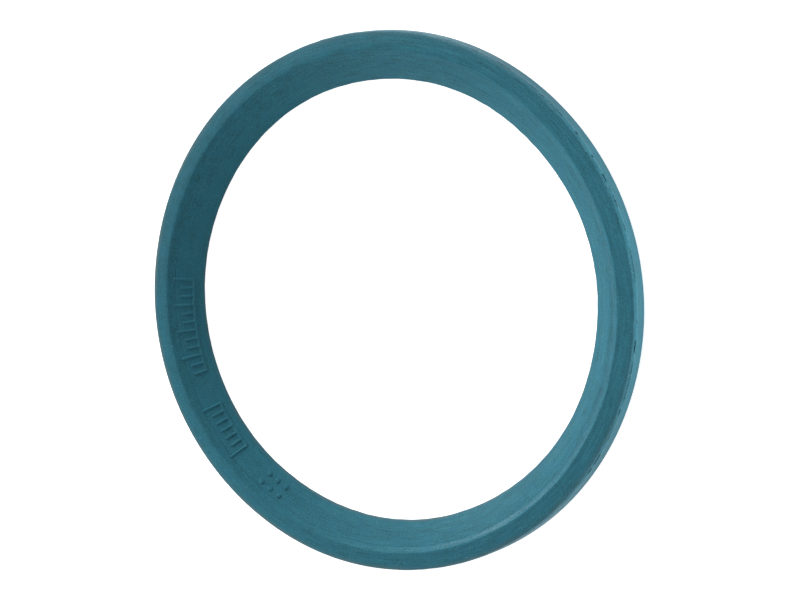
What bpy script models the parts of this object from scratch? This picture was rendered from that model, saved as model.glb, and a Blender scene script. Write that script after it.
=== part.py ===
"""Radiator connector seal: a ring of teal fluoro rubber, moulded in one piece.

The ring lies on its flat back face. Its axis is +Z, and the origin is the centre of that face.
Its section is a flat wedge. The outer wall stands nearly upright. The front band rises a little
from the wall to a ridge, and a wide cone runs from the ridge down to a thin lip round the bore.
"""

import math

import bpy
from mathutils import Matrix, Vector

# Driving dimensions, in metres
BORE_DIAMETER = 0.0575  # across the lip
SECTION_WIDTH = 0.00625  # from the lip out to the back edge of the wall
HEIGHT = 0.0034  # from the back face to the ridge
FRONT_BAND_WIDTH = 0.00215  # from the wall's front edge in to the ridge
FRONT_BAND_RISE = 0.0003  # how far the ridge stands above the wall's front edge
PARTING_DEPTH = 0.00068  # from the wall's front edge down to the parting line
UPPER_WALL_DRAFT = 0.0001  # how far the wall leans inwards above the parting line
LOWER_WALL_DRAFT = 0.00005  # how far it leans inwards from the back edge to the parting line
SHOULDER_WIDTH = 0.00045  # the cone is a little steeper over this stretch below the ridge
SHOULDER_DROP = 0.00007  # how far below a straight line to the lip that stretch ends
LIP_LAND_HEIGHT = 0.0003  # the short upright land at the bore, between back face and cone

# Rounds along the moulded edges
RIDGE_ROUND = 0.00045
FRONT_EDGE_ROUND = 0.00025
BACK_EDGE_ROUND = 0.0003
LIP_FOOT_ROUND = 0.00008
LIP_TOP_ROUND = 0.0002

# Trimmed flash where the mould's halves meet on the wall
FLASH_STAND = 0.00004  # how far the flash stands out of the wall
FLASH_FOOT = 0.0002  # its height where it leaves the wall

# Facets
STEPS_AROUND = 120
STEPS_PER_ROUND = 4
LONGEST_TANGENT = 0.45  # a round takes no more than this share of either side of its corner

# Surface
TEAL_RUBBER = (0.036, 0.176, 0.236, 1.0)
RUBBER_ROUGHNESS = 0.65


def empty_scene():
    """Removes the objects that the scene starts with."""
    for thing in list(bpy.data.objects):
        bpy.data.objects.remove(thing, do_unlink=True)


def make_collection(name):
    """A collection of that name, linked to the scene."""
    collection = bpy.data.collections.new(name)
    bpy.context.scene.collection.children.link(collection)
    return collection


def rubber_material():
    """Matte teal rubber as it leaves the mould."""
    material = bpy.data.materials.new("teal_fluoro_rubber")
    material.use_nodes = True
    material.diffuse_color = TEAL_RUBBER
    shader = material.node_tree.nodes["Principled BSDF"]
    shader.inputs["Base Color"].default_value = TEAL_RUBBER
    shader.inputs["Roughness"].default_value = RUBBER_ROUGHNESS
    shader.inputs["Metallic"].default_value = 0.0
    return material


def section_corners():
    """The section's corners, each with its round, down the outer side from the ridge and back up the cone.

    A corner is (distance from the axis, height above the back face).
    """
    bore_radius = BORE_DIAMETER / 2
    wall_height = HEIGHT - FRONT_BAND_RISE
    back_edge = Vector((bore_radius + SECTION_WIDTH, 0.0))
    parting = Vector((back_edge.x - LOWER_WALL_DRAFT, wall_height - PARTING_DEPTH))
    front_edge = Vector((parting.x - UPPER_WALL_DRAFT, wall_height))
    ridge = Vector((front_edge.x - FRONT_BAND_WIDTH, HEIGHT))
    lip_top = Vector((bore_radius, LIP_LAND_HEIGHT))
    on_straight_cone = ridge.lerp(lip_top, SHOULDER_WIDTH / (ridge.x - lip_top.x))
    towards_front = (front_edge - parting).normalized()
    towards_back = (back_edge - parting).normalized()
    return [
        (ridge, RIDGE_ROUND),
        (front_edge, FRONT_EDGE_ROUND),
        (parting + towards_front * FLASH_FOOT / 2, 0.0),
        (parting + Vector((FLASH_STAND, 0.0)), 0.0),
        (parting + towards_back * FLASH_FOOT / 2, 0.0),
        (back_edge, BACK_EDGE_ROUND),
        (Vector((bore_radius, 0.0)), LIP_FOOT_ROUND),
        (lip_top, LIP_TOP_ROUND),
        (on_straight_cone - Vector((0.0, SHOULDER_DROP)), 0.0),
    ]


def rounded_corner(before, corner, after, round_radius):
    """The points of the arc that rounds a corner, or the corner itself where it is sharp."""
    if round_radius == 0.0:
        return [corner]
    towards_before = before - corner
    towards_after = after - corner
    half_angle = towards_before.angle(towards_after) / 2
    shorter_side = min(towards_before.length, towards_after.length)
    tangent = min(round_radius / math.tan(half_angle), LONGEST_TANGENT * shorter_side)
    radius = tangent * math.tan(half_angle)
    towards_centre = (towards_before.normalized() + towards_after.normalized()).normalized()
    centre = corner + towards_centre * radius / math.sin(half_angle)
    spoke = corner + towards_before.normalized() * tangent - centre
    turn = math.pi - 2 * half_angle
    if towards_before.cross(towards_after) > 0:
        turn = -turn
    points = []
    for step in range(STEPS_PER_ROUND + 1):
        points.append(centre + Matrix.Rotation(turn * step / STEPS_PER_ROUND, 2) @ spoke)
    return points


def section_outline():
    """The closed outline of the section with its corners rounded."""
    corners = section_corners()
    outline = []
    for index, (corner, round_radius) in enumerate(corners):
        before = corners[index - 1][0]
        after = corners[(index + 1) % len(corners)][0]
        outline.extend(rounded_corner(before, corner, after, round_radius))
    return outline


def seal_ring(collection):
    """Turns the section once round the axis."""
    outline = section_outline()
    vertices = [(point.x, 0.0, point.y) for point in outline]
    edges = [(index, (index + 1) % len(outline)) for index in range(len(outline))]
    mesh = bpy.data.meshes.new("seal_ring")
    mesh.from_pydata(vertices, edges, [])
    ring = bpy.data.objects.new("seal_ring", mesh)
    collection.objects.link(ring)
    turned = ring.modifiers.new("turned", "SCREW")
    turned.axis = "Z"
    turned.angle = math.tau
    turned.steps = STEPS_AROUND
    turned.render_steps = STEPS_AROUND
    turned.use_merge_vertices = True
    turned.merge_threshold = 0.00001
    turned.use_smooth_shade = True
    ring.data.materials.append(rubber_material())
    return ring


def main():
    empty_scene()
    seal_ring(make_collection("radiator_connector_seal"))


main()
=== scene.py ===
"""The radiator connector seal as it looks: teal rubber, moulded in one piece, on a pale floor.

The ring lies on its flat back face, with its axis along +Z. One detailed mesh stands for the whole
ring. Its section is turned in six zones, each with as many columns as its own detail needs: the front
with the ridge, the parting line with its trimmed flash, the back, the lip with the foot of the cone,
the stretch of the cone that carries raised marks, and the shoulder below the ridge.

Named lengths are in metres. Named directions are in degrees, counterclockwise from +X. The arrays of
angles that the functions pass on are in radians.
"""

import math
import random

import bpy
import numpy as np
from mathutils import Matrix, Vector


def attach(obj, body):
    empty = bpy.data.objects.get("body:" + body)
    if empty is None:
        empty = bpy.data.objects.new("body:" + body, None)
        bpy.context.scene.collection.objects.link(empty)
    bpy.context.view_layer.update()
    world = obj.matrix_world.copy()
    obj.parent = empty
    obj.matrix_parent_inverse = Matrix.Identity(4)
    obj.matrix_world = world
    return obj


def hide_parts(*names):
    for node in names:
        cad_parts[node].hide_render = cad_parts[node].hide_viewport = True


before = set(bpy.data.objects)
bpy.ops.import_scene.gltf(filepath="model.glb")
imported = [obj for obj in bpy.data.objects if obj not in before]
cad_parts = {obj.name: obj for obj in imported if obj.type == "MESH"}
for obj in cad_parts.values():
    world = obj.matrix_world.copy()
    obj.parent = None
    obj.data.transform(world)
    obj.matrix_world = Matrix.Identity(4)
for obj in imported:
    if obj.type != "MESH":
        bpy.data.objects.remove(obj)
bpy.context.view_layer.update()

MM = 0.001

# Section of the ring
BORE_RADIUS = 28.75 * MM
SECTION_WIDTH = 6.25 * MM
HEIGHT = 3.385 * MM
FRONT_BAND_WIDTH = 2.15 * MM
FRONT_BAND_RISE = 0.285 * MM
WALL_DRAFT = 0.15 * MM  # how far the wall leans inwards from its back edge to its front edge
LOWER_WALL_DRAFT = 0.05 * MM  # how much of that lies below the parting line
PARTING_DEPTH = 0.68 * MM  # from the front edge down to the parting line
LIP_LAND_HEIGHT = 0.3 * MM
SHOULDER_WIDTH = 0.9 * MM  # the cone is a little steeper over its last stretch below the ridge
SHOULDER_DROP = 0.05 * MM

# Rounds along the moulded edges
RIDGE_ROUND = 0.35 * MM
FRONT_EDGE_ROUND = 0.21 * MM
BACK_EDGE_ROUND = 0.3 * MM
LIP_FOOT_ROUND = 0.08 * MM
LIP_TOP_ROUND = 0.2 * MM
LONGEST_TANGENT = 0.45  # a round takes no more than this share of either side of its corner
STEPS_PER_ROUND = 8

# Spacing of the section's rows on each straight stretch
ROW_SPACING = {
    "front_band": 0.25 * MM,
    "wall_top": 0.15 * MM,
    "parting": 0.05 * MM,
    "wall": 0.3 * MM,
    "back_face": 1.5 * MM,
    "lip_land": 0.06 * MM,
    "cone_foot": 0.25 * MM,
    "marks": 0.07 * MM,
    "cone_top": 0.2 * MM,
    "shoulder": 0.12 * MM,
}

# How far the real ring and its lip are out of round: (waves around, amplitude, phase)
OUT_OF_ROUND = (
    (2, 0.044 * MM, 93.0),
    (3, 0.022 * MM, 3.0),
    (4, 0.024 * MM, 11.0),
    (6, 0.021 * MM, 156.0),
)
OUT_OF_ROUND_INSET = 0.1 * MM  # keeps the outermost point inside the solid
LIP_OUT_OF_ROUND = (
    (1, 0.047 * MM, 312.0),
    (2, 0.014 * MM, 107.0),
    (3, 0.016 * MM, 235.0),
    (7, 0.036 * MM, 246.0),
)
LIP_INSET = 0.035 * MM
LIP_UNEVENNESS = 0.015 * MM
LIP_REACH = 0.8 * MM  # how far from the bore the lip's wandering still shows

# The ridge is crisp and lies a little inwards on one side, and is worn round elsewhere
RIDGE_CRISP_TOWARDS = 172.0
RIDGE_CRISP_NARROWNESS = 4
RIDGE_SHIFT = 0.09 * MM
RIDGE_SHIFT_REACH = 0.9 * MM
RIDGE_WEAR = 0.045 * MM
RIDGE_WEAR_REACH = 0.75 * MM

# Trimmed flash on the parting line
PARTING_HALF_HEIGHT = 0.3 * MM
PARTING_STEEPNESS = 1.4  # of the flash and the tears across the parting line, as fade() takes it
FLASH_STAND = 0.03 * MM
FLASH_UNEVENNESS = 0.015 * MM
TEAR_HALF_HEIGHT = 0.2 * MM
TEAR_ABOVE_PARTING = 0.06 * MM
TEAR_DEPTH = 0.2 * MM
TEAR_END_STEEPNESS = 2.5  # along the parting line
# Where the flash is torn into the wall: (from direction, to direction, share of the depth)
TEARS = (
    (-139.4, -137.6, 1.0), (-137.2, -134.1, 0.75), (-125.0, -123.5, 1.0), (-123.4, -112.0, 0.5),
    (-111.7, -108.4, 0.95), (-97.0, -89.5, 0.4), (-86.5, -84.4, 0.4), (-81.2, -78.1, 0.45),
    (-75.6, -73.5, 0.85), (-69.8, -69.0, 0.6), (-64.1, -63.2, 0.6), (-58.9, -57.9, 0.6),
    (-52.0, -49.0, 0.3), (-44.5, -39.6, 0.4), (-35.8, -34.2, 0.7),
)
FAINT_TEAR_COUNT = 40
FAINT_TEAR_LENGTHS = (0.4, 2.0)  # the shortest and the longest, in degrees
FAINT_TEAR_SHARE = 0.3
RAGGED_MEAN = 0.75  # a tear's ragged depth, as a share of its full depth
RAGGED_SWING = 0.35
RAGGED_LEAST = 0.3

# Random waves round the ring: (how many, fewest turns, most turns)
FLASH_WAVES = (14, 20, 160)
LIP_WAVES = (16, 8, 90)
TEAR_WAVES = (12, 220, 620)
FLASH_SEED = 24
LIP_SEED = 25
TEAR_SEED = 26

# Raised marks on the cone: plain scales and dots
MARK_HEIGHT = 0.175 * MM
MARK_STROKE = 0.3 * MM
MARK_DRAFT = 0.11 * MM  # width of the drafted side of a stroke
MARKS_FROM_LIP = 1.4 * MM  # along the slant, to the scales' base lines
MARK_RADIUS = 30.7 * MM  # where the lengths along the base lines are true
LONG_TICK = 2.6 * MM
SHORT_TICK = 1.6 * MM
TICK_PITCH = 1.16 * MM
FIRST_SCALE_FROM = 73.3
FIRST_SCALE_TICKS = 12
FIRST_SCALE_LONG_EVERY = 3
SECOND_SCALE_FROM = 106.3
SECOND_SCALE_TICKS = 7
SECOND_SCALE_LONG_EVERY = 6
DOTS_FROM = 129.0
DOT_COLUMNS = 3
DOT_ROWS = 2
DOT_PITCH = 1.5 * MM
DOT_WIDTH = 0.62 * MM
FIRST_DOT_ROW = 0.2  # its height above the base line, in pitches
LEAST_SQUARE = 1e-12  # stands in for the squared length of a dot, which has none
MARKS_ZONE = (1.1 * MM, 4.25 * MM)  # along the slant, the stretch with rows fine enough for the marks

# Wear and painted light and shade along lines round the ring: (line, reach, amount, direction of the side
# where it is strongest, narrowness). The narrower one is, the less far it spreads from that side round the
# ring.
FULL_AMOUNT_REACH = 0.6  # in reaches: each one holds its full amount up to here, and fades over one more reach
# Edges rubbed pale, mixed with painted light: painted sheen on the front edge, a painted highlight below
# the ridge, painted light on the lip and a painted reflection of the floor along the back edge
RUBBED_AND_SHEEN = (
    ("front_edge", 0.32 * MM, 0.8, 100.0, 1),
    ("front_edge", 1.4 * MM, 0.16, 22.0, 4),
    ("below_ridge", 0.3 * MM, 0.14, 198.0, 16),
    ("lip_top", 0.16 * MM, 0.6, 185.0, 1),
    ("lip_top", 1.8 * MM, 0.1, -150.0, 6),
    ("lip_top", 1.4 * MM, 0.07, -45.0, 5),
    ("back_edge", 1.5 * MM, 0.19, -95.0, 1),
)
# Pale flecks: scuffs, mixed with painted glints on the torn flash and a painted highlight below the ridge
SCUFFS_AND_GLINTS = (
    ("front_edge", 0.14 * MM, 0.3, -60.0, 2),
    ("parting", 0.15 * MM, 0.6, -90.0, 1),
    ("below_ridge", 0.35 * MM, 0.62, 200.0, 20),
)
# Painted light and shade: stretches painted paler where more light falls, or painted darker as shade where
# the amount is negative
PAINTED_LIGHT_AND_SHADE = (
    ("ridge", 0.8 * MM, -0.22, 68.0, 3),
    ("ridge", 0.35 * MM, -0.12, -115.0, 6),
    ("shoulder", 0.8 * MM, -0.32, -115.0, 8),
    ("shoulder", 1.5 * MM, -0.18, 36.0, 6),
    ("below_ridge", 0.35 * MM, 0.15, 192.0, 12),
    ("front_edge", 1.2 * MM, -0.33, 60.0, 8),
    ("front_edge", 0.35 * MM, -0.35, -125.0, 4),
    ("lip_top", 1.2 * MM, 0.2, -40.0, 5),
    ("lip_top", 1.2 * MM, 0.25, 155.0, 4),
)
TEAR_SHADE_GAIN = 1.8  # the painted shade in a tear is at its darkest before the tear is at its deepest

# The side where the turned streaks are faint
SMOOTH_TOWARDS = 85.0
SMOOTH_NARROWNESS = 3
SMOOTH_AMOUNT = 0.7

# Columns round the ring, with their spacing in degrees
PLAIN_COLUMN_STEP = 0.75
BACK_COLUMN_STEP = 1.5
NEAR_SIDE = -90.0  # the direction that faces the camera
PARTING_FINE_HALF_ANGLE = 75.0
PARTING_FINE_STEP = 0.16
MARKS_FINE_FROM = 71.0
MARKS_FINE_TO = 138.0
MARKS_FINE_STEP = 0.115


def corner_points():
    """The section's corners before rounding, as (distance from the axis, height)."""
    outer_radius = BORE_RADIUS + SECTION_WIDTH
    front_edge = Vector((outer_radius - WALL_DRAFT, HEIGHT - FRONT_BAND_RISE))
    ridge = Vector((front_edge.x - FRONT_BAND_WIDTH, HEIGHT))
    lip_top = Vector((BORE_RADIUS, LIP_LAND_HEIGHT))
    on_straight_cone = ridge.lerp(lip_top, SHOULDER_WIDTH / (ridge.x - lip_top.x))
    return {
        "ridge": ridge,
        "front_edge": front_edge,
        "parting": Vector((outer_radius - LOWER_WALL_DRAFT, front_edge.y - PARTING_DEPTH)),
        "back_edge": Vector((outer_radius, 0.0)),
        "lip_foot": Vector((BORE_RADIUS, 0.0)),
        "lip_top": lip_top,
        "shoulder": on_straight_cone - Vector((0.0, SHOULDER_DROP)),
    }


def rounded_corner(before, corner, after, round_radius):
    """The points of the arc that rounds a corner."""
    towards_before = before - corner
    towards_after = after - corner
    half_angle = towards_before.angle(towards_after) / 2
    shorter_side = min(towards_before.length, towards_after.length)
    tangent = min(round_radius / math.tan(half_angle), LONGEST_TANGENT * shorter_side)
    radius = tangent * math.tan(half_angle)
    towards_centre = (towards_before.normalized() + towards_after.normalized()).normalized()
    centre = corner + towards_centre * radius / math.sin(half_angle)
    spoke = corner + towards_before.normalized() * tangent - centre
    turn = math.pi - 2 * half_angle
    if towards_before.cross(towards_after) > 0:
        turn = -turn
    points = []
    for step in range(STEPS_PER_ROUND + 1):
        points.append(centre + Matrix.Rotation(turn * step / STEPS_PER_ROUND, 2) @ spoke)
    return points


def rounded_corners():
    """The arc at each corner, by the corner's name. A corner without a round is one point."""
    corners = corner_points()
    rounds = {
        "ridge": RIDGE_ROUND,
        "front_edge": FRONT_EDGE_ROUND,
        "back_edge": BACK_EDGE_ROUND,
        "lip_foot": LIP_FOOT_ROUND,
        "lip_top": LIP_TOP_ROUND,
    }
    names = list(corners)
    arcs = {}
    for index, name in enumerate(names):
        before = corners[names[index - 1]]
        after = corners[names[(index + 1) % len(names)]]
        if name in rounds:
            arcs[name] = rounded_corner(before, corners[name], after, rounds[name])
        else:
            arcs[name] = [corners[name]]
    return arcs


def between(start, end, stretch):
    """Evenly spaced points strictly between two points, as close together as the stretch needs."""
    count = max(1, round((end - start).length / ROW_SPACING[stretch]))
    return [start.lerp(end, step / count) for step in range(1, count)]


def section_zones():
    """The rows of the section by zone, in order: down the outer side and back up the cone."""
    arcs = rounded_corners()
    wall_top = arcs["front_edge"][-1]
    wall_foot = arcs["back_edge"][0]
    parting = arcs["parting"][0]
    cone_foot = arcs["lip_top"][-1]
    shoulder = arcs["shoulder"][0]
    slant = (shoulder - cone_foot).normalized()
    above_parting = parting + (wall_top - parting).normalized() * PARTING_HALF_HEIGHT
    below_parting = parting + (wall_foot - parting).normalized() * PARTING_HALF_HEIGHT
    marks_foot = cone_foot + slant * MARKS_ZONE[0]
    marks_top = cone_foot + slant * MARKS_ZONE[1]

    front = list(arcs["ridge"])
    front += between(arcs["ridge"][-1], arcs["front_edge"][0], "front_band")
    front += arcs["front_edge"]
    front += between(wall_top, above_parting, "wall_top")
    on_parting = [above_parting] + between(above_parting, parting, "parting") + [parting]
    on_parting += between(parting, below_parting, "parting") + [below_parting]
    back = between(below_parting, wall_foot, "wall")
    back += arcs["back_edge"]
    back += between(arcs["back_edge"][-1], arcs["lip_foot"][0], "back_face")
    back += arcs["lip_foot"]
    lip = between(arcs["lip_foot"][-1], arcs["lip_top"][0], "lip_land")
    lip += arcs["lip_top"]
    lip += between(cone_foot, marks_foot, "cone_foot")
    marks = [marks_foot] + between(marks_foot, marks_top, "marks") + [marks_top]
    below_ridge = between(marks_top, shoulder, "cone_top") + [shoulder]
    below_ridge += between(shoulder, arcs["ridge"][0], "shoulder")
    return {
        "front": front,
        "parting": on_parting,
        "back": back,
        "lip": lip,
        "marks": marks,
        "shoulder": below_ridge,
    }


def scale_strokes(ticks, long_every):
    """A base line with ticks, every so many of them long, as (start, end, width)."""
    strokes = [((0.0, 0.0), ((ticks - 1) * TICK_PITCH, 0.0), MARK_STROKE)]
    for tick in range(ticks):
        along = tick * TICK_PITCH
        length = LONG_TICK if tick % long_every == 0 else SHORT_TICK
        strokes.append(((along, 0.0), (along, length), MARK_STROKE))
    return strokes


def dot_strokes():
    """Rows of dots, each a stroke without length, as (start, end, width)."""
    strokes = []
    for column in range(DOT_COLUMNS):
        for row in range(DOT_ROWS):
            centre = (column * DOT_PITCH, (row + FIRST_DOT_ROW) * DOT_PITCH)
            strokes.append((centre, centre, DOT_WIDTH))
    return strokes


def raised_strokes():
    """All strokes of the marks, as (start, end, width), each point as (arc length, distance from the lip).

    Arc length counts counterclockwise from +X, at the marks' own radius.
    """
    groups = (
        (FIRST_SCALE_FROM, scale_strokes(FIRST_SCALE_TICKS, FIRST_SCALE_LONG_EVERY)),
        (SECOND_SCALE_FROM, scale_strokes(SECOND_SCALE_TICKS, SECOND_SCALE_LONG_EVERY)),
        (DOTS_FROM, dot_strokes()),
    )
    placed = []
    for direction, strokes in groups:
        corner = np.array((math.radians(direction) * MARK_RADIUS, MARKS_FROM_LIP))
        for start, end, width in strokes:
            placed.append((corner + start, corner + end, width))
    return placed


def marks_height(along, from_lip):
    """How far the marks stand out of the cone at each point of the grid."""
    height = np.zeros(np.broadcast(along, from_lip).shape)
    for start, end, width in raised_strokes():
        run = end - start
        length_squared = max(run @ run, LEAST_SQUARE)
        share = ((along - start[0]) * run[0] + (from_lip - start[1]) * run[1]) / length_squared
        share = np.clip(share, 0.0, 1.0)
        distance = np.hypot(along - start[0] - share * run[0], from_lip - start[1] - share * run[1])
        inside = np.clip((width / 2 + MARK_DRAFT / 2 - distance) / MARK_DRAFT, 0.0, 1.0)
        height = np.maximum(height, MARK_HEIGHT * inside * inside * (3 - 2 * inside))
    return height


def waves(angles, source, count, fewest_turns, most_turns):
    """A smooth closed curve round the ring from random waves, about -1 to 1."""
    total = np.zeros_like(angles)
    for _ in range(count):
        turns = source.randint(fewest_turns, most_turns)
        total += np.sin(turns * angles + source.uniform(0.0, math.tau))
    return total / math.sqrt(count)


def regular_waves(angles, parts):
    """The sum of regular waves round the ring, given as (waves around, amplitude, phase)."""
    return sum(amplitude * np.cos(turns * angles + math.radians(phase)) for turns, amplitude, phase in parts)


def fade(distance, reach, steepness=1.0):
    """From 1 at the middle down to 0 at the reach. Over 1, steepness holds the 1 over more of it."""
    return np.clip(steepness * (1 - distance / reach), 0.0, 1.0)


def one_sided(angles, towards, narrowness):
    """From 1 on the side that lies in a direction, down to 0 on the opposite side."""
    return (0.5 + 0.5 * np.cos(angles - math.radians(towards))) ** narrowness


def flash_stand(angles):
    """How far the flash stands out of the wall at each angle."""
    source = random.Random(FLASH_SEED)
    return FLASH_STAND + FLASH_UNEVENNESS * waves(angles, source, *FLASH_WAVES)


def tear_depth(angles):
    """How deep the flash is torn into the wall at each angle, as a share of the deepest tear."""
    source = random.Random(TEAR_SEED)
    tears = list(TEARS)
    for _ in range(FAINT_TEAR_COUNT):
        start = source.uniform(0.0, 360.0)
        tears.append((start, start + source.uniform(*FAINT_TEAR_LENGTHS), FAINT_TEAR_SHARE))
    ragged = np.clip(RAGGED_MEAN + RAGGED_SWING * waves(angles, source, *TEAR_WAVES), RAGGED_LEAST, 1.0)
    depth = np.zeros_like(angles)
    for start, end, share in tears:
        half_length = math.radians(end - start) / 2
        middle = math.radians(start + end) / 2
        offset = np.abs((angles - middle + math.pi) % math.tau - math.pi)
        depth = np.maximum(depth, share * fade(offset, half_length, TEAR_END_STEEPNESS))
    return depth * ragged


def columns(fine_from, fine_to, fine_step, plain_step=PLAIN_COLUMN_STEP):
    """Angles round the ring in radians, close together over one stretch."""
    fine_count = round((fine_to - fine_from) / fine_step)
    plain_count = round((360.0 - (fine_to - fine_from)) / plain_step)
    fine = np.linspace(fine_from, fine_to, fine_count, endpoint=False)
    plain = np.linspace(fine_to, fine_from + 360.0, plain_count, endpoint=False)
    return np.radians(np.concatenate((fine, plain)))


def zone_columns():
    """The angles of the columns of each zone."""
    near_from = NEAR_SIDE - PARTING_FINE_HALF_ANGLE
    near_to = NEAR_SIDE + PARTING_FINE_HALF_ANGLE
    plain = columns(near_from, near_to, PLAIN_COLUMN_STEP)
    return {
        "front": plain,
        "parting": columns(near_from, near_to, PARTING_FINE_STEP),
        "back": columns(near_from, near_to, BACK_COLUMN_STEP, BACK_COLUMN_STEP),
        "lip": plain,
        "marks": columns(MARKS_FINE_FROM, MARKS_FINE_TO, MARKS_FINE_STEP),
        "shoulder": plain,
    }


def section_normals(points):
    """The outward normal at each point of the closed section."""
    after = np.roll(points, -1, axis=0)
    before = np.roll(points, 1, axis=0)
    run = after - before
    normals = np.column_stack((-run[:, 1], run[:, 0]))
    return normals / np.linalg.norm(normals, axis=1)[:, None]


def parting_share(points, half_height, above=0.0):
    """How much of the flash's stand or of a tear each row of the parting zone takes, from 0 to 1."""
    middle = points[len(points) // 2, 1] + above
    return fade(np.abs(points[:, 1] - middle), half_height, PARTING_STEEPNESS)[:, None]


def tear_share(points):
    """How much of a tear each row of the parting zone takes."""
    return parting_share(points, TEAR_HALF_HEIGHT, TEAR_ABOVE_PARTING)


def lip_wander(points, angles):
    """How far the lip's edge lies in or out of its true place, fading away up the cone and along the back."""
    source = random.Random(LIP_SEED)
    near_lip = fade(points[:, 0] - BORE_RADIUS, LIP_REACH)
    wander = regular_waves(angles, LIP_OUT_OF_ROUND) + LIP_UNEVENNESS * waves(angles, source, *LIP_WAVES)
    return near_lip[:, None] * (wander - LIP_INSET)


def ridge_changes(points, angles):
    """How far the ridge lies inwards, and how far it is worn down, at each vertex near it."""
    distance = np.linalg.norm(points - np.array(corner_points()["ridge"]), axis=1)[:, None]
    crisp = one_sided(angles, RIDGE_CRISP_TOWARDS, RIDGE_CRISP_NARROWNESS)
    inwards = RIDGE_SHIFT * crisp * fade(distance, RIDGE_SHIFT_REACH)
    worn = RIDGE_WEAR * (1 - crisp) * fade(distance, RIDGE_WEAR_REACH) ** 2
    return inwards, worn


def zone_relief(name, points, angles):
    """How far flash, tears and marks move the zone's vertices along the section's normals."""
    if name == "parting":
        flash = parting_share(points, PARTING_HALF_HEIGHT) * flash_stand(angles)
        return flash - TEAR_DEPTH * tear_share(points) * tear_depth(angles)
    if name == "marks":
        from_lip = np.linalg.norm(points - np.array(corner_points()["lip_top"]), axis=1)
        along = (angles % math.tau) * MARK_RADIUS
        return marks_height(along[None, :], from_lip[:, None])
    return np.zeros((len(points), len(angles)))


def zone_points(name, points, normals, angles):
    """The zone's vertices, row after row."""
    relief = zone_relief(name, points, angles)
    out_of_round = regular_waves(angles, OUT_OF_ROUND) - OUT_OF_ROUND_INSET
    radius = points[:, 0, None] + relief * normals[:, 0, None] + out_of_round
    height = np.maximum(points[:, 1, None] + relief * normals[:, 1, None], 0.0)
    if name in ("back", "lip"):
        radius = radius + lip_wander(points, angles)
    if name in ("front", "shoulder"):
        inwards, worn = ridge_changes(points, angles)
        radius = radius - inwards
        height = height - worn
    return np.stack((radius * np.cos(angles), radius * np.sin(angles), height), axis=-1)


def lines_for_wear_and_painted_light():
    """The lines that wear and painted light and shade follow round the ring: the section's corners, and one
    halfway to the shoulder.
    """
    lines = corner_points()
    lines["below_ridge"] = lines["ridge"].lerp(lines["shoulder"], 0.5)
    return lines


def along_lines(points, angles, parts):
    """The sum of the parts at each vertex, given as (line, reach, amount, direction, narrowness)."""
    lines = lines_for_wear_and_painted_light()
    total = np.zeros((len(points), len(angles)))
    for line, reach, amount, towards, narrowness in parts:
        distance = np.linalg.norm(points - np.array(lines[line]), axis=1)
        near = np.clip(1 + FULL_AMOUNT_REACH - distance / reach, 0.0, 1.0)
        total += amount * near[:, None] * one_sided(angles, towards, narrowness)
    return total


def zone_wear_and_painted_light(name, points, angles):
    """The wear and the painted light and shade at each of the zone's vertices, by kind."""
    painted_tear_shade = np.zeros((len(points), len(angles)))
    if name == "parting":
        # Painted shade in the tears
        painted_tear_shade = tear_share(points) * np.clip(TEAR_SHADE_GAIN * tear_depth(angles), 0.0, 1.0)
    streaky = 1 - SMOOTH_AMOUNT * one_sided(angles, SMOOTH_TOWARDS, SMOOTH_NARROWNESS)
    return {
        # Rubbed and scuffed mix wear with painted sheen and glints, the tone is painted light and shade, the
        # crevice is painted shade
        "rubbed_and_sheen": along_lines(points, angles, RUBBED_AND_SHEEN),
        "scuffs_and_glints": along_lines(points, angles, SCUFFS_AND_GLINTS),
        "painted_light_and_shade": along_lines(points, angles, PAINTED_LIGHT_AND_SHADE),
        "painted_tear_shade": painted_tear_shade,
        "streaky": np.tile(streaky, (len(points), 1)),
    }


def in_order(row, angles):
    """A closed row's vertices by rising angle, and their angles, with one more for the way back."""
    turned = angles % math.tau
    order = np.argsort(turned)
    return row[order].tolist(), np.append(turned[order], 2 * math.tau)


def bridge(upper, upper_angles, lower, lower_angles):
    """Triangles between two closed rows, each with its own columns."""
    upper_ring, upper_turn = in_order(upper, upper_angles)
    lower_ring, lower_turn = in_order(lower, lower_angles)
    faces = []
    on_upper = on_lower = 0
    while on_upper < len(upper_ring) or on_lower < len(lower_ring):
        rung = (upper_ring[on_upper % len(upper_ring)], lower_ring[on_lower % len(lower_ring)])
        next_upper = upper_turn[on_upper + 1] if on_upper < len(upper_ring) else math.inf
        next_lower = lower_turn[on_lower + 1] if on_lower < len(lower_ring) else math.inf
        if next_upper <= next_lower:
            on_upper += 1
            faces.append((*rung, upper_ring[on_upper % len(upper_ring)]))
        else:
            on_lower += 1
            faces.append((*rung, lower_ring[on_lower % len(lower_ring)]))
    return faces


def ring_faces(grids, angles):
    """Quads inside each zone, and triangles from its last row to the next zone's first."""
    faces = []
    names = list(grids)
    for index, name in enumerate(names):
        grid = grids[name]
        turned = np.roll(grid, -1, axis=1)
        quads = np.stack((grid[:-1], grid[1:], turned[1:], turned[:-1]), axis=-1)
        faces.extend(map(tuple, quads.reshape(-1, 4).tolist()))
        after = names[(index + 1) % len(names)]
        faces.extend(bridge(grid[-1], angles[name], grids[after][0], angles[after]))
    return faces


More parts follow.
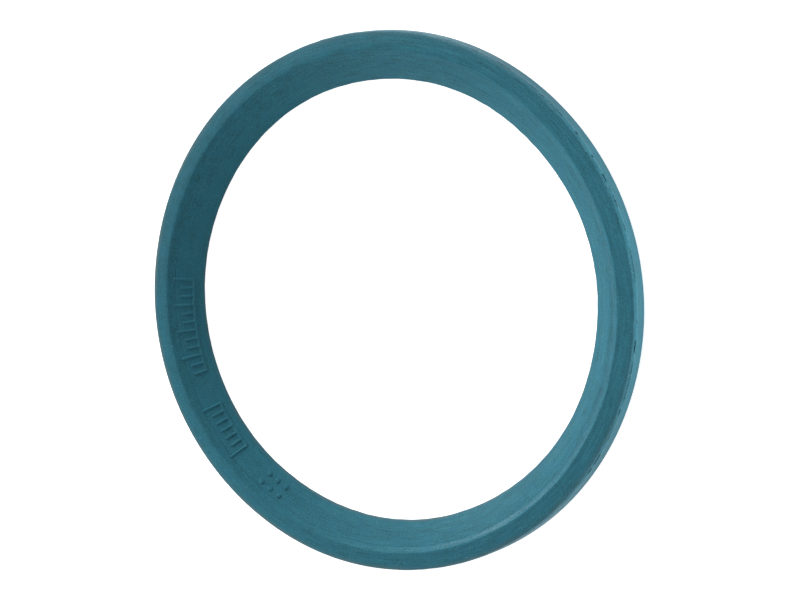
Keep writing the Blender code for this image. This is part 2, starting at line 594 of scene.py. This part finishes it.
def ring_mesh():
    """The whole ring as one closed mesh, with the wear and the painted light and shade of each vertex."""
    zones = section_zones()
    angles = zone_columns()
    outline = np.array([point for rows in zones.values() for point in rows])
    normals = section_normals(outline)
    vertices = []
    wear_and_painted_light = {}
    grids = {}
    first_row = 0
    first_vertex = 0
    for name, rows in zones.items():
        rows_here = slice(first_row, first_row + len(rows))
        made = zone_points(name, outline[rows_here], normals[rows_here], angles[name])
        count = made.shape[0] * made.shape[1]
        grids[name] = np.arange(first_vertex, first_vertex + count).reshape(made.shape[:2])
        vertices.append(made.reshape(-1, 3))
        for kind, values in zone_wear_and_painted_light(name, outline[rows_here], angles[name]).items():
            wear_and_painted_light.setdefault(kind, []).append(values.ravel())
        first_row += len(rows)
        first_vertex += count
    mesh = bpy.data.meshes.new("moulded_ring")
    mesh.from_pydata(np.concatenate(vertices).tolist(), [], ring_faces(grids, angles))
    for kind, values in wear_and_painted_light.items():
        attribute = mesh.attributes.new(kind, "FLOAT", "POINT")
        attribute.data.foreach_set("value", np.concatenate(values).astype(np.float32))
    mesh.validate()
    mesh.shade_smooth()
    return mesh


def feed(tree, socket, value):
    """Links a socket to another one, or sets its value."""
    if isinstance(value, bpy.types.NodeSocket):
        tree.links.new(value, socket)
    else:
        socket.default_value = value


def add_node(tree, kind, inputs=(), **settings):
    """A new node with its settings and inputs, given as (socket, value)."""
    node = tree.nodes.new(kind)
    for name, value in settings.items():
        setattr(node, name, value)
    for socket, value in inputs:
        feed(tree, node.inputs[socket], value)
    return node


def mesh_value(tree, name):
    """A value that each vertex of the mesh carries."""
    return add_node(tree, "ShaderNodeAttribute", attribute_name=name).outputs["Fac"]


def calculate(tree, operation, first, second=0.0):
    """A Math node's result."""
    node = add_node(tree, "ShaderNodeMath", ((0, first), (1, second)), operation=operation)
    return node.outputs[0]


def ramp(tree, value, low, high, to_low=0.0, to_high=1.0):
    """The value carried smoothly from one range to another, and clamped to it."""
    from_range = (("From Min", low), ("From Max", high))
    to_range = (("To Min", to_low), ("To Max", to_high))
    inputs = (("Value", value), *from_range, *to_range)
    return add_node(tree, "ShaderNodeMapRange", inputs, interpolation_type="SMOOTHSTEP").outputs["Result"]


def noise(tree, vector, scale, detail=2.0, roughness=0.5, w=None):
    """A noise texture's value, about 0.5 on average, in four dimensions where w gives the fourth."""
    inputs = [("Vector", vector), ("Scale", scale), ("Detail", detail), ("Roughness", roughness)]
    if w is not None:
        inputs.append(("W", w))
    dimensions = "3D" if w is None else "4D"
    return add_node(tree, "ShaderNodeTexNoise", inputs, noise_dimensions=dimensions).outputs["Fac"]


def tint(tree, factor, below, above):
    """One colour over another by a factor."""
    node = add_node(tree, "ShaderNodeMix", (("Factor", factor),), data_type="RGBA")
    colours = [socket for socket in node.inputs if socket.type == "RGBA"]
    feed(tree, colours[0], below)
    feed(tree, colours[1], above)
    return next(socket for socket in node.outputs if socket.type == "RGBA")


def weighted_sum(tree, start, terms):
    """The start value plus each pattern's swing about a half times its strength."""
    total = start
    for pattern, strength in terms:
        swing = calculate(tree, "SUBTRACT", pattern, 0.5)
        total = calculate(tree, "ADD", total, calculate(tree, "MULTIPLY", swing, strength))
    return total


# Linear colours of the rubber, of what lies on it, and of the painted sheen, glints and shade
TEAL_DEEP = (0.0285, 0.1190, 0.1560, 1.0)
TEAL_PALE = (0.0510, 0.2330, 0.3050, 1.0)
TEAL_BLUE = (0.0350, 0.1690, 0.2450, 1.0)
# Pale dust, also the colour of the painted glints
PALE_DUST_AND_GLINTS = (0.18, 0.34, 0.40, 1.0)
# Pale rubbed rubber, also the colour of painted sheen and painted light along the edges
RUBBED_AND_SHEEN_PALE = (0.150, 0.200, 0.205, 1.0)
# Painted shade in the torn flash
PAINTED_TEAR_SHADE_COLOUR = (0.002, 0.018, 0.028, 1.0)

# Size of the patterns' largest features, in millimetres as the texture coordinates are
GRAIN_SIZE = 0.15
PATCH_SIZE = 0.8
MOTTLE_SIZE = 2.9
STREAK_SIZE = 0.2
WAVE_SIZE = 1.25
DASH_SIZE = 0.22
STREAK_STRETCH = 13.0  # how much longer than wide the streaks, waves and dashes are
FINE_NOISE = 0.6  # the grain's and the streaks' own roughness, for more fine detail

# How strongly each pattern moves the colour from deep to pale, and where the colour stands without them
GRAIN_STRENGTH = 2.0
PATCH_STRENGTH = 0.3
MOTTLE_STRENGTH = 0.3
STREAK_STRENGTH = 1.4
MIDDLE_TONE = 0.5

# Relief of the bump, in millimetres
GRAIN_RELIEF = 0.01
STREAK_RELIEF = 0.006
WAVE_RELIEF = 0.006

# Patterns that set in between two of their values, with their largest features to the millimetre
BLUE_PER_MM = 0.7
BLUE_RANGE = (0.45, 0.62)
BLUE_AMOUNT = 0.4
RUB_PER_MM = 2.2
RUB_RANGE = (0.35, 0.65)
RUB_LEAST = 0.35  # what is left of the rub where its pattern is low
DASH_RANGE = (0.5, 0.62)
DASH_LEAST = 0.35  # what is left of the scuffs between the dashes
FLECK_RANGE = (0.48, 0.56)  # of the grain, which breaks the scuffs into flecks
SPECKS_PER_MM = 1.1
SPECK_RANGE = (0.09, 0.05)  # distance from a speck's middle, in spacings of the specks
DUSTY_PER_MM = 0.9  # specks show only in some places
DUSTY_RANGE = (0.62, 0.66)

# Gloss
ROUGH_PATCH_RANGE = (0.3, 0.7)
ROUGHNESS_RANGE = (0.32, 0.42)
SPECULAR_LEVEL = 0.03


def ring_coordinates(tree):
    """The place in millimetres, and the place for streaks, whose way round the ring is shortened.

    The second place has four dimensions. Its vector holds the distance from the axis, the height and
    one of the two coordinates that go round. Its fourth value is the other one.
    """
    place = add_node(tree, "ShaderNodeTexCoord").outputs["Object"]
    scaled = add_node(tree, "ShaderNodeVectorMath", ((0, place),), operation="SCALE")
    scaled.inputs["Scale"].default_value = 1 / MM
    millimetres = scaled.outputs["Vector"]
    x, y, z = add_node(tree, "ShaderNodeSeparateXYZ", ((0, millimetres),)).outputs
    squares = calculate(tree, "ADD", calculate(tree, "MULTIPLY", x, x), calculate(tree, "MULTIPLY", y, y))
    radius = calculate(tree, "SQRT", squares)
    around = BORE_RADIUS / MM / STREAK_STRETCH
    across = calculate(tree, "MULTIPLY", calculate(tree, "DIVIDE", x, radius), around)
    along = calculate(tree, "MULTIPLY", calculate(tree, "DIVIDE", y, radius), around)
    streak = add_node(tree, "ShaderNodeCombineXYZ", ((0, radius), (1, z), (2, across)))
    return millimetres, streak.outputs[0], along


def dust_specks(tree, place):
    """Small round specks, from 0 to 1."""
    inputs = (("Vector", place), ("Scale", SPECKS_PER_MM), ("Randomness", 1.0))
    cells = add_node(tree, "ShaderNodeTexVoronoi", inputs)
    return ramp(tree, cells.outputs["Distance"], *SPECK_RANGE)


def rubber_patterns(tree):
    """The patterns that the rubber's colour, relief and roughness share, by name."""
    place, streak, turn = ring_coordinates(tree)
    return {
        "grain": noise(tree, place, 1 / GRAIN_SIZE, roughness=FINE_NOISE),
        "patches": noise(tree, place, 1 / PATCH_SIZE),
        "mottle": noise(tree, place, 1 / MOTTLE_SIZE),
        "blue": noise(tree, place, BLUE_PER_MM),
        "dusty": noise(tree, place, DUSTY_PER_MM, detail=0.0),
        "specks": dust_specks(tree, place),
        "streaks": noise(tree, streak, 1 / STREAK_SIZE, roughness=FINE_NOISE, w=turn),
        "waves": noise(tree, streak, 1 / WAVE_SIZE, detail=1.0, w=turn),
        "rub": noise(tree, streak, RUB_PER_MM, detail=3.0, w=turn),
        "dashes": noise(tree, streak, 1 / DASH_SIZE, detail=1.0, w=turn),
    }


def colour_with_painted_light(tree, patterns):
    """Teal with grain, turned streaks and mottling, bluer in places, with painted light and shade and a few
    specks of dust.
    """
    streak_strength = calculate(tree, "MULTIPLY", mesh_value(tree, "streaky"), STREAK_STRENGTH)
    terms = (
        (patterns["grain"], GRAIN_STRENGTH),
        (patterns["patches"], PATCH_STRENGTH),
        (patterns["mottle"], MOTTLE_STRENGTH),
        (patterns["streaks"], streak_strength),
    )
    # Painted light and shade raise or lower the colour along lines round the ring
    level = weighted_sum(tree, calculate(tree, "ADD", mesh_value(tree, "painted_light_and_shade"), MIDDLE_TONE), terms)
    colour = tint(tree, level, TEAL_DEEP, TEAL_PALE)
    colour = tint(tree, ramp(tree, patterns["blue"], *BLUE_RANGE, 0.0, BLUE_AMOUNT), colour, TEAL_BLUE)
    dusty = ramp(tree, patterns["dusty"], *DUSTY_RANGE)
    return tint(tree, calculate(tree, "MULTIPLY", patterns["specks"], dusty), colour, PALE_DUST_AND_GLINTS)


def worn_and_painted_colour(tree, patterns, colour):
    """The colour with rubbed edges mixed with painted sheen and light, pale flecks of scuffing mixed with
    painted glints, and painted shade in the torn flash over it.
    """
    worn = ramp(tree, patterns["rub"], *RUB_RANGE, RUB_LEAST, 1.0)
    # Rubbed edges mixed with painted sheen, a painted highlight, painted light on the lip and a painted floor
    # reflection
    rubbed_and_sheen = calculate(tree, "MULTIPLY", mesh_value(tree, "rubbed_and_sheen"), worn)
    colour = tint(tree, rubbed_and_sheen, colour, RUBBED_AND_SHEEN_PALE)
    dashes = ramp(tree, patterns["dashes"], *DASH_RANGE, DASH_LEAST, 1.0)
    flecks = calculate(tree, "MULTIPLY", dashes, ramp(tree, patterns["grain"], *FLECK_RANGE))
    # Scuffs mixed with painted glints and a painted highlight
    scuffs_and_glints = calculate(tree, "MULTIPLY", mesh_value(tree, "scuffs_and_glints"), flecks)
    colour = tint(tree, scuffs_and_glints, colour, PALE_DUST_AND_GLINTS)
    # Painted shade in the tears
    return tint(tree, mesh_value(tree, "painted_tear_shade"), colour, PAINTED_TEAR_SHADE_COLOUR)


def rubber_material():
    """Matte teal rubber with its moulding grain and turned streaks, its wear, and painted light and shade."""
    material = bpy.data.materials.new("teal_fluoro_rubber")
    material.use_nodes = True
    tree = material.node_tree
    shader = tree.nodes["Principled BSDF"]
    patterns = rubber_patterns(tree)
    colour = worn_and_painted_colour(tree, patterns, colour_with_painted_light(tree, patterns))
    roughness = ramp(tree, patterns["patches"], *ROUGH_PATCH_RANGE, *ROUGHNESS_RANGE)
    reliefs = (
        (patterns["grain"], GRAIN_RELIEF),
        (patterns["streaks"], STREAK_RELIEF),
        (patterns["waves"], WAVE_RELIEF),
    )
    height = weighted_sum(tree, 0.0, reliefs)
    bump = add_node(tree, "ShaderNodeBump", (("Strength", 1.0), ("Distance", MM), ("Height", height)))
    tree.links.new(colour, shader.inputs["Base Color"])
    tree.links.new(roughness, shader.inputs["Roughness"])
    tree.links.new(bump.outputs["Normal"], shader.inputs["Normal"])
    shader.inputs["Specular IOR Level"].default_value = SPECULAR_LEVEL
    return material


def make_ring():
    """The dressed ring, in the place of the solid one."""
    ring = bpy.data.objects.new("moulded_ring", ring_mesh())
    bpy.context.scene.collection.objects.link(ring)
    ring.data.materials.append(rubber_material())
    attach(ring, "root")
    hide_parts("seal_ring")


# Camera, fitted to the outlines and creases in the photograph
CAMERA_TARGET_HEIGHT = 1.7 * MM
CAMERA_DISTANCE = 400.0 * MM
CAMERA_TILT = 28.147  # off the ring's axis, towards the near side
CAMERA_ROLL = 12.395
CAMERA_PAN = 0.1927
CAMERA_PITCH = 0.0347
CAMERA_LENS = 139.579  # in millimetres, as is the sensor's width
SENSOR_WIDTH = 36.0
CLIP_START = 10.0 * MM
CLIP_END = 20.0


def make_camera():
    """The photograph's camera, above the near side and turned a little about its own axis."""
    tilt = math.radians(CAMERA_TILT)
    roll = math.radians(CAMERA_ROLL)
    back = Vector((0.0, -math.sin(tilt), math.cos(tilt)))
    level_right = Vector((0.0, -math.cos(tilt), -math.sin(tilt)))
    level_up = Vector((1.0, 0.0, 0.0))
    right = math.cos(roll) * level_right - math.sin(roll) * level_up
    up = math.sin(roll) * level_right + math.cos(roll) * level_up
    forward = -back + math.radians(CAMERA_PAN) * right + math.radians(CAMERA_PITCH) * up
    forward.normalize()
    right = (right - right.dot(forward) * forward).normalized()
    up = right.cross(forward)
    lens = bpy.data.cameras.new("camera")
    lens.lens = CAMERA_LENS
    lens.sensor_width = SENSOR_WIDTH
    lens.clip_start = CLIP_START
    lens.clip_end = CLIP_END
    camera = bpy.data.objects.new("camera", lens)
    bpy.context.scene.collection.objects.link(camera)
    place = Vector((0.0, 0.0, CAMERA_TARGET_HEIGHT)) + CAMERA_DISTANCE * back
    turned = Matrix((right, up, -forward)).transposed().to_4x4()
    camera.matrix_world = Matrix.Translation(place) @ turned
    bpy.context.scene.camera = camera


# Floor: what the camera sees of it clips to white where it isn't in shadow
FLOOR_SIZE = 6.0
FLOOR_COLOUR = (0.9, 0.9, 0.9, 1.0)
FLOOR_GLOW = 0.8


def make_floor():
    """A wide pale floor that keeps the ring's shadow and that the rubber's gloss reflects."""
    bpy.ops.mesh.primitive_plane_add(size=FLOOR_SIZE, location=(0.0, 0.0, 0.0))
    floor = bpy.context.object
    floor.name = "floor"
    material = bpy.data.materials.new("pale_floor")
    material.use_nodes = True
    tree = material.node_tree
    tree.nodes.clear()
    diffuse = add_node(tree, "ShaderNodeBsdfDiffuse", (("Color", FLOOR_COLOUR),))
    path = add_node(tree, "ShaderNodeLightPath").outputs
    seen = calculate(tree, "MAXIMUM", path["Is Camera Ray"], path["Is Glossy Ray"])
    seen = calculate(tree, "MAXIMUM", seen, path["Is Transmission Ray"])
    glow_seen = calculate(tree, "MULTIPLY", seen, FLOOR_GLOW)
    glow = add_node(tree, "ShaderNodeEmission", (("Strength", glow_seen),))
    both = add_node(tree, "ShaderNodeAddShader", ((0, diffuse.outputs[0]), (1, glow.outputs[0])))
    add_node(tree, "ShaderNodeOutputMaterial", (("Surface", both.outputs[0]),))
    floor.data.materials.append(material)


# Softboxes: (azimuth, elevation, distance, width, height, radiance)
SOFTBOXES = {
    "key": (30.0, 30.0, 0.6, 0.35, 0.35, 4.3),
    "high_back_left": (120.0, 55.0, 0.6, 0.35, 0.35, 1.6),
    "high_back": (60.0, 55.0, 0.6, 0.35, 0.35, 0.95),
    "right": (0.0, 30.0, 0.6, 0.35, 0.35, 2.2),
    "top": (0.0, 88.0, 0.6, 0.35, 0.35, 0.45),
    "low_right": (38.0, 6.0, 0.6, 0.12, 0.12, 15.0),
    "low_back_right": (60.0, 8.0, 0.6, 0.35, 0.35, 3.7),
    "low_back": (120.0, 8.0, 0.6, 0.35, 0.35, 2.6),
    "low_back_left": (150.0, 8.0, 0.6, 0.35, 0.35, 3.8),
    "strip_near_right": (277.0, 3.1, 0.11, 0.06, 0.01, 17.5),
    "strip_near_left": (252.0, 3.1, 0.11, 0.06, 0.01, 19.5),
    "strip_left": (205.0, 3.1, 0.11, 0.06, 0.01, 5.0),
}
WORLD_COLOUR = (1.0, 1.0, 1.0, 1.0)
WORLD_LIGHT = 0.06


def softbox(name, azimuth, elevation, distance, width, height, radiance):
    """A rectangular softbox that faces the ring's centre and that the camera doesn't see."""
    turn = math.radians(azimuth)
    rise = math.radians(elevation)
    direction = Vector((math.cos(turn) * math.cos(rise), math.sin(turn) * math.cos(rise), math.sin(rise)))
    lamp = bpy.data.lights.new(name, "AREA")
    lamp.shape = "RECTANGLE"
    lamp.size = width
    lamp.size_y = height
    lamp.energy = radiance * math.pi * width * height
    box = bpy.data.objects.new(name, lamp)
    bpy.context.scene.collection.objects.link(box)
    box.location = direction * distance
    box.rotation_mode = "QUATERNION"
    box.rotation_quaternion = direction.to_track_quat("Z", "Y")
    box.visible_camera = False


def make_light():
    """The softboxes, and a faint even light from all round."""
    for name, values in SOFTBOXES.items():
        softbox("softbox_" + name, *values)
    world = bpy.data.worlds.new("studio")
    bpy.context.scene.world = world
    world.use_nodes = True
    backdrop = world.node_tree.nodes["Background"]
    backdrop.inputs["Color"].default_value = WORLD_COLOUR
    backdrop.inputs["Strength"].default_value = WORLD_LIGHT


def main():
    make_ring()
    make_camera()
    make_floor()
    make_light()
    bpy.context.scene.view_settings.view_transform = "Standard"


main()
